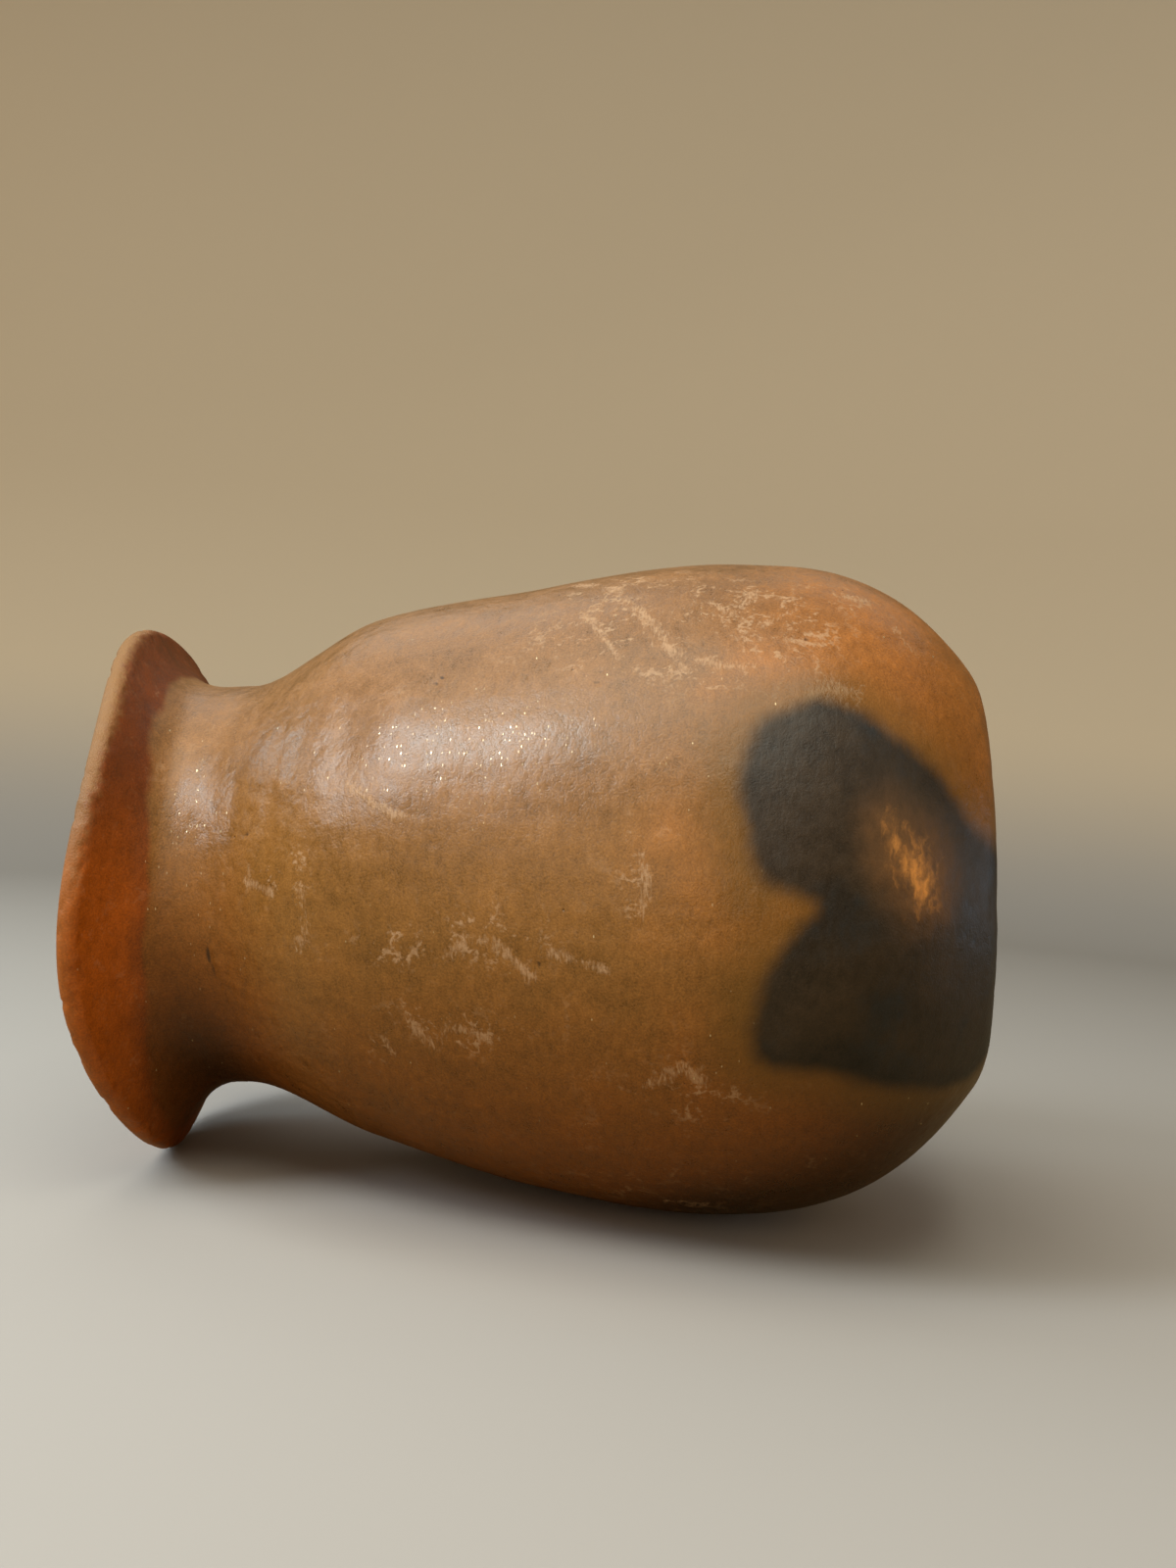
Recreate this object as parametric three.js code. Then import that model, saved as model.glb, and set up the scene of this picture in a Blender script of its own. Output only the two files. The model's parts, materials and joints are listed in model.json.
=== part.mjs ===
// A hand-built olla of burnished micaceous clay, lying on its side, mouth towards -X and foot towards +X.
// Each member that the potter joined is a closed ring or bowl of its own, with a thin luted seam to the next.
// The pot's own frame has the foot flat at height 0 and the mouth up. All sizes are in millimetres.
import * as THREE from 'three';
import { mergeVertices } from 'three/addons/utils/BufferGeometryUtils.js';

// Outside diameters, from the foot up to the edge of the rim.
const footDiameter = 72.4;
const bellyDiameter = 122.3;
const shoulderDiameter = 114.9;
const breastDiameter = 100.8;
const neckDiameter = 78.6;
const rimDiameter = 100.1;

// Height from each of those rings to the next.
const footToBelly = 44.9;
const bellyToShoulder = 35.3;
const shoulderToBreast = 31.9;
const breastToNeck = 27;
const neckToRim = 15.7;

// How the wall leans outwards at each ring, in degrees from the pot's axis. Inwards is negative.
const footAngle = 56.7;
const bellyAngle = 2.4;
const shoulderAngle = -10.1;
const breastAngle = -16.5;
const neckAngle = 1;
const rimAngle = 66.6;

// How far each ring's centre strays from the axis, towards the side that lies uppermost.
const footStray = 0.3;
const bellyStray = -1.2;
const shoulderStray = -0.9;
const breastStray = 1;
const neckStray = -0.5;
const rimStray = -1.4;

// Clay thicknesses: the wall, the floor and the lip.
const wallThickness = 5.5;
const floorThickness = 7;
const lipThickness = 5;

// The members: the bowl's edge, the wall coils between it and the neck coil, and the neck coil itself.
const bowlHeight = 22;
const wallCoilCount = 6;
const neckCoilBelow = 12;
const neckCoilAbove = 5;

// The luted seam between two members, and how far its face slopes up towards the inside, in degrees.
const seamGap = 0.3;
const seamSlope = 30;

// What the hand left: an oval section with its flat side down, and a three-lobed one that turns by so many
// degrees from the foot to the belly and on at that rate.
const ovalDepth = 0.5;
const lobeDepth = 0.4;
const lobeTurn = 63;

// The lip rises and falls by waves of one, two, three and four crests, each turned by so many degrees.
// They die out at a depth below the rim.
const lipWaveDepth = 18;
const slantedLipRise = 2.4;
const slantedLipTurn = -61;
const saddledLipRise = 1.3;
const saddledLipTurn = -36;
const threeCrestRise = 1.6;
const threeCrestTurn = -65;
const fourCrestRise = 0.9;
const fourCrestTurn = 73;

// The clay's colour and roughness, by how each member was finished and fired.
const burnishedClay = { color: 0x8a5430, roughness: 0.42 };
const smokedClay = { color: 0x6e4228, roughness: 0.45 };
const rimClay = { color: 0xa05f22, roughness: 0.5 };

// Facets around the pot and along its profile.
const facetsAround = 48;
const bowlSteps = 7;
const coilSteps = 3;
const rimSteps = 5;
const lipSteps = 6;

const radians = THREE.MathUtils.degToRad;

const lipWaves = [
  { rise: slantedLipRise, turn: slantedLipTurn },
  { rise: saddledLipRise, turn: saddledLipTurn },
  { rise: threeCrestRise, turn: threeCrestTurn },
  { rise: fourCrestRise, turn: fourCrestTurn },
];

const bellyHeight = footToBelly;
const shoulderHeight = bellyHeight + bellyToShoulder;
const breastHeight = shoulderHeight + shoulderToBreast;
const neckHeight = breastHeight + breastToNeck;
const rimHeight = neckHeight + neckToRim;

const rings = [
  { height: 0, diameter: footDiameter, angle: footAngle, stray: footStray },
  { height: bellyHeight, diameter: bellyDiameter, angle: bellyAngle, stray: bellyStray },
  { height: shoulderHeight, diameter: shoulderDiameter, angle: shoulderAngle, stray: shoulderStray },
  { height: breastHeight, diameter: breastDiameter, angle: breastAngle, stray: breastStray },
  { height: neckHeight, diameter: neckDiameter, angle: neckAngle, stray: neckStray },
  { height: rimHeight, diameter: rimDiameter, angle: rimAngle, stray: rimStray },
];

// The stretch between the two rings that a height lies in, with the wall's curve as a cubic.
function stretchAt(height) {
  const above = rings.findIndex((ring) => height <= ring.height);
  const highIndex = above < 0 ? rings.length - 1 : Math.max(above, 1);
  const low = rings[highIndex - 1];
  const high = rings[highIndex];
  const third = (high.height - low.height) / 3;
  const lowHandle = low.diameter / 2 + Math.tan(radians(low.angle)) * third;
  const highHandle = high.diameter / 2 - Math.tan(radians(high.angle)) * third;
  const curve = new THREE.CubicBezierCurve(
    new THREE.Vector2(low.diameter / 2, low.height),
    new THREE.Vector2(lowHandle, low.height + third),
    new THREE.Vector2(highHandle, high.height - third),
    new THREE.Vector2(high.diameter / 2, high.height),
  );
  return { low, high, curve, share: (height - low.height) / (high.height - low.height) };
}

function outerPoint(height) {
  const { share, curve } = stretchAt(height);
  return curve.getPoint(share);
}

function outwardNormal(height) {
  const { share, curve } = stretchAt(height);
  const along = curve.getTangent(share);
  return new THREE.Vector2(along.y, -along.x);
}

function thicknessAt(height) {
  const pastNeck = THREE.MathUtils.clamp((height - neckHeight) / neckToRim, 0, 1);
  return THREE.MathUtils.lerp(wallThickness, lipThickness, pastNeck);
}

// The inner surface lies one thickness in from the outer one, and stops at the floor.
function innerPoint(height) {
  const point = outerPoint(height).addScaledVector(outwardNormal(height), -thicknessAt(height));
  point.y = Math.max(point.y, floorThickness);
  return point;
}

// Evenly spaced heights from one to the other, both included.
function heightsBetween(low, high, steps) {
  return Array.from({ length: steps + 1 }, (_, index) => low + ((high - low) * index) / steps);
}

// A seam's faces rise towards the inside by this height, and stand half a gap off the seam on each side.
const seamRise = wallThickness * Math.tan(radians(seamSlope));
const seamSetback = seamGap / 2 / Math.cos(radians(seamSlope));

// The lip is a half round from the outer surface over to the inner one.
function lipRound() {
  const normal = outwardNormal(rimHeight);
  const centre = outerPoint(rimHeight).addScaledVector(normal, -lipThickness / 2);
  const startAngle = Math.atan2(normal.y, normal.x);
  return heightsBetween(0, Math.PI, lipSteps).map(
    (turn) =>
      new THREE.Vector2(
        centre.x + (lipThickness / 2) * Math.cos(startAngle + turn),
        centre.y + (lipThickness / 2) * Math.sin(startAngle + turn),
      ),
  );
}

// Sections run up the outside and down the inside.
function bowlSection(top) {
  const outerHeights = heightsBetween(0, top - seamSetback, bowlSteps);
  const innerHeights = heightsBetween(0, top - seamSetback + seamRise, bowlSteps).reverse();
  const floorCentre = new THREE.Vector2(0, floorThickness);
  const footCentre = new THREE.Vector2(0, 0);
  return [footCentre, ...outerHeights.map(outerPoint), ...innerHeights.map(innerPoint), floorCentre];
}

function coilSection(bottom, top, steps) {
  const low = bottom + seamSetback;
  const high = top - seamSetback;
  const outerHeights = heightsBetween(low, high, steps);
  const innerHeights = heightsBetween(low + seamRise, high + seamRise, steps).reverse();
  return [...outerHeights.map(outerPoint), ...innerHeights.map(innerPoint), outerPoint(low)];
}

function rimSection(bottom) {
  const low = bottom + seamSetback;
  const outerHeights = heightsBetween(low, rimHeight, rimSteps).slice(0, -1);
  const innerHeights = heightsBetween(low + seamRise, rimHeight, rimSteps).slice(0, -1).reverse();
  return [...outerHeights.map(outerPoint), ...lipRound(), ...innerHeights.map(innerPoint), outerPoint(low)];
}

// Around the pot the angle is 0 on the side that lies uppermost and half a turn on the side it lies on.
function outOfRound(height, angle) {
  const oval = -ovalDepth * Math.cos(2 * angle);
  const lobed = lobeDepth * Math.cos(3 * angle + (radians(lobeTurn) * height) / footToBelly);
  return oval + lobed;
}

function lipRise(height, angle) {
  const fade = THREE.MathUtils.smoothstep(height, rimHeight - lipWaveDepth, rimHeight);
  const wave = (sum, { rise, turn }, index) => sum + rise * Math.cos((index + 1) * angle + radians(turn));
  return fade * lipWaves.reduce(wave, 0);
}

function strayAt(height) {
  const { low, high } = stretchAt(height);
  const eased = THREE.MathUtils.smoothstep(height, low.height, high.height);
  return THREE.MathUtils.lerp(low.stray, high.stray, eased);
}

// Turns a section about the pot's axis and gives it the marks of the hand.
function handShaped(section) {
  const turned = new THREE.LatheGeometry(section, facetsAround, Math.PI / facetsAround);
  turned.deleteAttribute('normal');
  turned.deleteAttribute('uv');
  const position = turned.getAttribute('position');
  for (let index = 0; index < position.count; index += 1) {
    const height = position.getY(index);
    const roundRadius = Math.hypot(position.getX(index), position.getZ(index));
    const angle = Math.atan2(position.getX(index), position.getZ(index));
    const radius = roundRadius * (1 + outOfRound(height, angle) / (bellyDiameter / 2));
    position.setXYZ(
      index,
      radius * Math.cos(angle) + strayAt(height),
      radius * Math.sin(angle),
      height + lipRise(height, angle),
    );
  }
  const shaped = mergeVertices(turned);
  shaped.computeVertexNormals();
  return shaped;
}

function clayMember(name, section, clay) {
  const material = new THREE.MeshStandardMaterial({ ...clay, metalness: 0 });
  const member = new THREE.Mesh(handShaped(section), material);
  member.name = name;
  return member;
}

function wallCoils(bottom, top) {
  const coilHeight = (top - bottom) / wallCoilCount;
  return Array.from({ length: wallCoilCount }, (_, index) => {
    const low = bottom + index * coilHeight;
    return clayMember(`wall_coil_${index + 1}`, coilSection(low, low + coilHeight, coilSteps), burnishedClay);
  });
}

const neckCoilBottom = neckHeight - neckCoilBelow;
const neckCoilTop = neckHeight + neckCoilAbove;

const pot = new THREE.Group();
pot.add(clayMember('base_bowl', bowlSection(bowlHeight), smokedClay));
pot.add(...wallCoils(bowlHeight, neckCoilBottom));
pot.add(clayMember('neck_coil', coilSection(neckCoilBottom, neckCoilTop, coilSteps), burnishedClay));
pot.add(clayMember('rim_coil', rimSection(neckCoilTop), rimClay));

// How low the wanted part of the pot reaches when it lies on its side with its foot raised by a tilt.
function lowestReach(tilt, isWanted) {
  const point = new THREE.Vector3();
  let lowest = Infinity;
  for (const member of pot.children) {
    const position = member.geometry.getAttribute('position');
    for (let index = 0; index < position.count; index += 1) {
      point.fromBufferAttribute(position, index);
      if (isWanted(point.z)) lowest = Math.min(lowest, point.x * Math.cos(tilt) - point.z * Math.sin(tilt));
    }
  }
  return lowest;
}

// The tilt at which the rim and the belly both touch the surface, found by halving a range.
function restingTilt() {
  const smallEnough = radians(1e-6);
  let level = 0;
  let steep = radians(45);
  while (steep - level > smallEnough) {
    const tilt = (level + steep) / 2;
    const rimReach = lowestReach(tilt, (height) => height > neckHeight);
    const bodyReach = lowestReach(tilt, (height) => height <= neckHeight);
    if (rimReach > bodyReach) level = tilt;
    else steep = tilt;
  }
  return (level + steep) / 2;
}

pot.rotation.y = -(Math.PI / 2 + restingTilt());

// The origin is on the surface, under the middle of the lying pot.
const olla = new THREE.Group();
olla.add(pot);
olla.updateMatrixWorld(true);
const extent = new THREE.Box3().setFromObject(olla, true);
const middle = extent.getCenter(new THREE.Vector3());
pot.position.set(-middle.x, -middle.y, -extent.min.z);

export default olla;
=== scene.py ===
"""A small hand-built olla of burnished micaceous clay, lying on its side. Sizes are in metres."""
import json
from math import cos, pi, radians, sin, tan

import bmesh
import bpy
import numpy as np
from mathutils import Matrix, Vector, noise


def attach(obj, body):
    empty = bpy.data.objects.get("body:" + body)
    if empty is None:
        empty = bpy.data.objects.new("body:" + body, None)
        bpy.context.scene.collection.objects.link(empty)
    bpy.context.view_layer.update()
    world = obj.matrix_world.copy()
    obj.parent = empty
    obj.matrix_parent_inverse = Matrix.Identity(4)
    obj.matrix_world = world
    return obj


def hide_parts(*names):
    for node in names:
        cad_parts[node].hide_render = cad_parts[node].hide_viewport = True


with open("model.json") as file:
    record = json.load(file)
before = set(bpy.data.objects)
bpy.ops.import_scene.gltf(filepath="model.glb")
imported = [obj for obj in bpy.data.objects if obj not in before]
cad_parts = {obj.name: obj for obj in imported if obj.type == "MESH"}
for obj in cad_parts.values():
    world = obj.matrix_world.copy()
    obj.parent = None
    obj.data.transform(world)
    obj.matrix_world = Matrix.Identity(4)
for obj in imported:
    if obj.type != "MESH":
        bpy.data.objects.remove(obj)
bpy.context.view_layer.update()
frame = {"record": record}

MM = 0.001

# The rings that draw the wall, from the foot up to the edge of the rim: each one's height, radius, lean
# outwards as a slope, and how far its centre strays towards the side that lies uppermost.
RING_HEIGHT = np.cumsum([0, 0.0449, 0.0353, 0.0319, 0.027, 0.0157])
RING_RADIUS = np.array([0.0724, 0.1223, 0.1149, 0.1008, 0.0786, 0.1001]) / 2
RING_SLOPE = np.tan(np.radians([56.7, 2.4, -10.1, -16.5, 1, 66.6]))
RING_STRAY = np.array([0.0003, -0.0012, -0.0009, 0.001, -0.0005, -0.0014])
BELLY_HEIGHT, BELLY_RADIUS = RING_HEIGHT[1], RING_RADIUS[1]
NECK_HEIGHT, RIM_HEIGHT = RING_HEIGHT[4], RING_HEIGHT[5]

WALL_THICKNESS = 0.0055
FLOOR_THICKNESS = 0.007
LIP_THICKNESS = 0.005

# The members, and the slope of the luted seam between two of them.
BOWL_HEIGHT = 0.022
WALL_COILS = 6
NECK_COIL_BELOW = 0.012
NECK_COIL_ABOVE = 0.005
SEAM_SLOPE = 30
SEAM_RISE = WALL_THICKNESS * tan(radians(SEAM_SLOPE))

# What the hand left: an oval section, a three-lobed one that turns on the way up, and the lip's waves, each
# with its rise and its turn in degrees.
OVAL_DEPTH = 0.0005
LOBE_DEPTH = 0.0004
LOBE_TURN = radians(63)
LIP_WAVE_DEPTH = 0.018
LIP_WAVES = ((0.0024, -61), (0.0013, -36), (0.0016, -65), (0.0009, 73))

# The fine skin: cells around the pot and along its outside and inside, how many points draw each line before
# it is cut into cells, and how far the skin lies under the drawn one.
SPIN_STEPS = 64
CELLS_A_STEP = 8
SKIN_CELL = 0.00075
INSIDE_CELL = 0.0015
LIP_POINTS, HEEL_POINTS, WALL_POINTS, REACH_POINTS = 33, 17, 200, 400
MERGE_DISTANCE = 0.001 * MM
SKIN_SETBACK = 0.00015
HEEL_ROUND = 0.0035
HEEL_RISE = 0.6 * HEEL_ROUND

# The pot's own frame: the foot flat at height 0 and the mouth up, with angle 0 on the side that lies
# uppermost and 270 degrees on the side that the camera sees.
CAMERA_SIDE = 270
FOOT_MOUNT = frame["record"]["mounts"][0]
UP_THE_POT = -Vector(FOOT_MOUNT["axis"])
BACKWARDS = Vector((0, 1, 0))
UPPERMOST = BACKWARDS.cross(UP_THE_POT)
POT_MATRIX = Matrix((UPPERMOST, BACKWARDS, UP_THE_POT)).transposed().to_4x4()
POT_MATRIX.translation = Vector(FOOT_MOUNT["pos_m"])


# The drawn shape

def stretch(height):
    """The rings below and above each height, the distance between them and the share of it that is passed."""
    high = np.clip(np.searchsorted(RING_HEIGHT, height), 1, len(RING_HEIGHT) - 1)
    low = high - 1
    span = RING_HEIGHT[high] - RING_HEIGHT[low]
    return low, high, span, (height - RING_HEIGHT[low]) / span


def wall_radius(height):
    """A cubic curve from ring to ring that keeps each ring's lean."""
    low, high, span, share = stretch(height)
    low_handle = RING_RADIUS[low] + RING_SLOPE[low] * span / 3
    high_handle = RING_RADIUS[high] - RING_SLOPE[high] * span / 3
    rest = 1 - share
    ends = RING_RADIUS[low] * rest**3 + RING_RADIUS[high] * share**3
    return ends + 3 * rest * share * (low_handle * rest + high_handle * share)


def wall_normal(height):
    """The outward direction square to the wall, as a radial part and a part up the pot."""
    step = 0.01 * MM
    slope = (wall_radius(height + step) - wall_radius(height - step)) / (2 * step)
    length = np.hypot(1, slope)
    return 1 / length, -slope / length


def smooth(value, low, high):
    """From 0 to 1 as the value passes from low to high, eased at both ends."""
    share = np.clip((value - low) / (high - low), 0, 1)
    return share * share * (3 - 2 * share)


def outer_points(heights):
    return np.column_stack((wall_radius(heights), heights))


def inner_points(heights):
    """One thickness in from the outer wall, down to the floor."""
    radial, upward = wall_normal(heights)
    past_neck = np.clip((heights - NECK_HEIGHT) / (RIM_HEIGHT - NECK_HEIGHT), 0, 1)
    thickness = WALL_THICKNESS + (LIP_THICKNESS - WALL_THICKNESS) * past_neck
    radius = wall_radius(heights) - thickness * radial
    return np.column_stack((radius, np.maximum(heights - thickness * upward, FLOOR_THICKNESS)))


def lip_points():
    """The lip is a half round from the outer wall over to the inner one."""
    radial, upward = wall_normal(RIM_HEIGHT)
    half = LIP_THICKNESS / 2
    centre = np.array([wall_radius(RIM_HEIGHT) - half * radial, RIM_HEIGHT - half * upward])
    turn = np.arctan2(upward, radial) + np.linspace(0, pi, LIP_POINTS)
    return centre + half * np.column_stack((np.cos(turn), np.sin(turn)))


def heel_points():
    """The worn round of the heel, from the foot flat up to the wall."""
    top = outer_points(np.array([HEEL_RISE]))[0]
    corner = np.array([RING_RADIUS[0], 0])
    start = corner - (HEEL_ROUND, 0)
    share = np.linspace(0, 1, HEEL_POINTS)[:, None]
    return (1 - share) ** 2 * start + 2 * share * (1 - share) * corner + share**2 * top


def lip_waves(angle):
    """How far the lip's edge rises and falls on its way round."""
    return sum(rise * np.cos((k + 1) * angle + radians(turn)) for k, (rise, turn) in enumerate(LIP_WAVES))


def hand_shaped(radius, height, angle):
    """Points in the pot's own frame, out of round and off centre as the hand left them."""
    oval = -OVAL_DEPTH * np.cos(2 * angle)
    lobed = LOBE_DEPTH * np.cos(3 * angle + LOBE_TURN * height / BELLY_HEIGHT)
    radius = radius * (1 + (oval + lobed) / BELLY_RADIUS)
    rise = lip_waves(angle) * smooth(height, RIM_HEIGHT - LIP_WAVE_DEPTH, RIM_HEIGHT)
    low, high, _, share = stretch(height)
    stray = RING_STRAY[low] + (RING_STRAY[high] - RING_STRAY[low]) * smooth(share, 0, 1)
    return np.column_stack((radius * np.cos(angle) + stray, radius * np.sin(angle), height + rise))


# The section of the whole pot, in stretches that each belong to one member and one side

def distances_along(points):
    """How far each point is from the first one along the line."""
    return np.concatenate(([0], np.cumsum(np.hypot(*np.diff(points, axis=0).T))))


def evenly(points, cell):
    """The same line with points about one cell apart, both ends kept."""
    along = distances_along(points)
    places = np.linspace(0, along[-1], max(2, round(along[-1] / cell) + 1))
    return np.column_stack([np.interp(places, along, points[:, k]) for k in (0, 1)])


def seam_heights():
    bottom, top = BOWL_HEIGHT, NECK_HEIGHT - NECK_COIL_BELOW
    return [*np.linspace(bottom, top, WALL_COILS + 1), NECK_HEIGHT + NECK_COIL_ABOVE]


MEMBERS = ["base_bowl", *(f"wall_coil_{k + 1}" for k in range(WALL_COILS)), "neck_coil", "rim_coil"]
OUTSIDE, LIP, INSIDE = range(3)


def section_stretches():
    """The stretches in order, from the foot's centre up the outside, over the lip and down to the floor."""
    seams = seam_heights()
    heel = heel_points()
    rim = len(MEMBERS) - 1
    flat = np.array([[0, 0], heel[0]])
    yield 0, OUTSIDE, evenly(flat, 2 * SKIN_CELL)
    yield 0, OUTSIDE, evenly(heel, SKIN_CELL)
    bounds = [heel[-1][1], *seams, RIM_HEIGHT]
    for member, (low, high) in enumerate(zip(bounds, bounds[1:])):
        yield member, OUTSIDE, evenly(outer_points(np.linspace(low, high, WALL_POINTS)), SKIN_CELL)
    yield rim, LIP, evenly(lip_points(), SKIN_CELL / 2)
    bounds = [0, *(seam + SEAM_RISE for seam in seams), RIM_HEIGHT]
    for member in range(rim, -1, -1):
        line = inner_points(np.linspace(bounds[member + 1], bounds[member], WALL_POINTS))
        yield member, INSIDE, evenly(line, INSIDE_CELL)
    last = inner_points(np.array([0.0]))[0]
    yield 0, INSIDE, evenly(np.array([last, (0, FLOOR_THICKNESS)]), 2 * INSIDE_CELL)


def turned_pot():
    """The whole pot turned from its section, with each vertex's place in it and each edge's owner."""
    points, owners = [], []
    for member, side, line in section_stretches():
        points.extend(line if not points else line[1:])
        owners.extend([(member, side)] * (len(line) - 1))
    pot = bmesh.new()
    place = pot.verts.layers.int.new("place")
    section = [pot.verts.new((radius, 0, height)) for radius, height in points]
    for index, vertex in enumerate(section):
        vertex[place] = index
    line = [pot.edges.new(pair) for pair in zip(section, section[1:])]
    bmesh.ops.spin(pot, geom=section + line, cent=(0, 0, 0), axis=(0, 0, 1), dvec=(0, 0, 0),
                   angle=2 * pi, steps=SPIN_STEPS, use_merge=True)
    bmesh.ops.remove_doubles(pot, verts=pot.verts, dist=MERGE_DISTANCE)
    bmesh.ops.recalc_face_normals(pot, faces=pot.faces)
    around = [edge for edge in pot.edges if edge.verts[0][place] == edge.verts[1][place]]
    bmesh.ops.subdivide_edges(pot, edges=around, cuts=CELLS_A_STEP - 1)
    bmesh.ops.triangulate(pot, faces=[face for face in pot.faces if len(face.verts) > 4])
    return pot, np.array(points), np.array(owners)


# Marks in the clay. A place is a height in metres and an angle in degrees, and depths are in millimetres.
# What is pressed in has its depth, its place, and its half sizes along the pot and around it. A crease has
# its place and its half length.

PRESSED = ((0.9, (0.110, 302), (0.0055, 0.011)), (0.16, (0.096, 297), (0.014, 0.009)))
CREASES = (((0.1310, 305), 0.018), ((0.1235, 296), 0.020))
CREASE_DEPTH, CREASE_HALF_HEIGHT = 0.25, 0.0015
CREASE_SLANT, CREASE_WANDER = 0.0016, 0.0003
WAVE_DEPTH, WAVE_SIZE = 0.13, 0.021
FACET_DEPTH, FACET_SIZE = 0.06, 0.0042
BROKEN_DEPTH = 0.35
PIT_HALF_SIZE = 0.0005
NECK_CRACK, CRACK_HALF_SIZES = (0.1355, 255), (0.0004, 0.0042)
CRACK_WANDER, CRACK_BENDS = 0.0004, 25
HEEL_CHIP, HEEL_CHIP_HALF_SIZES = (0.0012, 268), (0.0012, 0.004)
LIP_WEAR_DEPTH, LIP_CHIP_DEPTH, LIP_CHIP_SIZE = 0.15, 0.22, 0.0045
FINGER_DEPTH, FINGER_SIZE = 0.25, 0.007
PITS = ((0.0655, 310.5), (0.0662, 308.6), (0.128, 285), (0.0745, 262), (0.0925, 281), (0.052, 248),
        (0.0945, 312), (0.0935, 313.5), (0.0318, 318))


def turned_from(angle, centre):
    """How far an angle lies from a centre given in degrees, the short way round, in radians."""
    return (angle - radians(centre) + pi) % (2 * pi) - pi


def spot(height, angle, centre, half_height, half_round):
    """A soft spot that is 1 at its centre and fades by about twice its half sizes."""
    up = (height - centre[0]) / half_height
    across = turned_from(angle, centre[1]) * wall_radius(centre[0]) / half_round
    return np.exp(-(up**2) - across**2)


def lumps(points, size, octaves=2, shift=0.0):
    """Smooth noise, from about -1 to 1, with lumps of the given size."""
    offset = Vector((shift, 2 * shift, 3 * shift))
    return np.array([noise.fractal(Vector(point) / size + offset, 1, 2, octaves) for point in points])


def skin_depth(points, height, angle):
    """How far the burnished outside lies under the drawn surface."""
    depth = SKIN_SETBACK + WAVE_DEPTH * MM * (1 + lumps(points, WAVE_SIZE, shift=1))
    facets = lumps(points * (1, 1, 0.25), FACET_SIZE, shift=5)
    depth += FACET_DEPTH * MM * (1 + facets)
    for pressed, centre, half_sizes in PRESSED:
        depth += pressed * MM * spot(height, angle, centre, *half_sizes)
    for crease, half_round in CREASES:
        slanted = height + CREASE_SLANT * turned_from(angle, crease[1]) + CREASE_WANDER * facets
        depth += CREASE_DEPTH * MM * spot(slanted, angle, crease, CREASE_HALF_HEIGHT, half_round)
    return depth + BROKEN_DEPTH * MM * broken_skin(height, angle)


def broken_skin(height, angle):
    """Where the skin is open: the pits, the crack that wanders down the neck, and the chip on the heel."""
    pits = sum(spot(height, angle, pit, PIT_HALF_SIZE, PIT_HALF_SIZE) for pit in PITS)
    wandering = height + CRACK_WANDER * np.sin(angle * CRACK_BENDS)
    crack = spot(wandering, angle, NECK_CRACK, *CRACK_HALF_SIZES)
    return pits + crack + spot(height, angle, HEEL_CHIP, *HEEL_CHIP_HALF_SIZES)


def lip_depth(points):
    """The lip is chipped where the slip has flaked off it."""
    chips = smooth(lumps(points, LIP_CHIP_SIZE, 3, shift=9), 0.05, 0.3)
    return SKIN_SETBACK + MM * (LIP_WEAR_DEPTH + LIP_CHIP_DEPTH * chips)


def inside_depth(points):
    """Finger marks run round the inside."""
    return FINGER_DEPTH * MM * (1 + lumps(points * (0.3, 0.3, 1), FINGER_SIZE, shift=3))


# The fire cloud's outline and the pale patch in it, each a closed curve through a few points. A height below
# zero is so far in under the foot.

FIRE_CLOUD = ((0.0400, 299), (0.0420, 288), (0.0395, 277), (0.0335, 273), (0.0305, 271), (0.0345, 267),
              (0.0390, 260), (0.0405, 251), (0.0380, 247), (0.0290, 244.5), (0.0200, 239), (0.0100, 229),
              (0.0030, 220), (-0.0080, 226), (-0.0120, 250), (-0.0060, 276), (0.0056, 287), (0.0120, 296),
              (0.0230, 303), (0.0310, 304))
GOLDEN_PATCH = ((0.0199, 286), (0.0169, 284), (0.0128, 280.5), (0.0108, 275), (0.0113, 270), (0.0146, 269),
                (0.0170, 273.5), (0.0194, 279))

# Where the skin is scuffed, where the highlight falls, and where the clay is darker on the side towards
# the floor: each place, and its half sizes along the pot and around it.
SCUFFED = (((0.058, 324), (0.018, 0.013)), ((0.040, 322), (0.011, 0.013)), ((0.047, 312), (0.012, 0.004)),
           ((0.067, 337), (0.006, 0.006)), ((0.0235, 333), (0.004, 0.004)), ((0.028, 307), (0.007, 0.003)),
           ((0.084, 266), (0.010, 0.0035)), ((0.0905, 249), (0.009, 0.003)), ((0.103, 241), (0.003, 0.002)),
           ((0.116, 269), (0.0015, 0.007)), ((0.121, 275), (0.005, 0.003)), ((0.059, 276), (0.002, 0.007)),
           ((0.050, 242), (0.008, 0.005)), ((0.040, 276), (0.002, 0.002)), ((0.100, 262), (0.006, 0.003)),
           ((0.070, 100), (0.030, 0.030)), ((0.060, 180), (0.025, 0.030)))
# Where the highlight falls: mica flakes are crowded there, partly as painted glints, and the clay is glossier
HIGHLIGHT_PLACES = (((0.092, 297), (0.014, 0.007)), ((0.1385, 288), (0.004, 0.008)), ((0.077, 300), (0.012, 0.004)),
              ((0.107, 297), (0.002, 0.002)))
# Darker spots on the side towards the floor: painted shade, at the foot partly a fire stain as well
STAIN_AND_SHADE_SPOTS = (((0.008, 222), (0.034, 0.032)), ((0.045, 205), (0.022, 0.018)), ((0.142, 214), (0.012, 0.026)))
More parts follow.
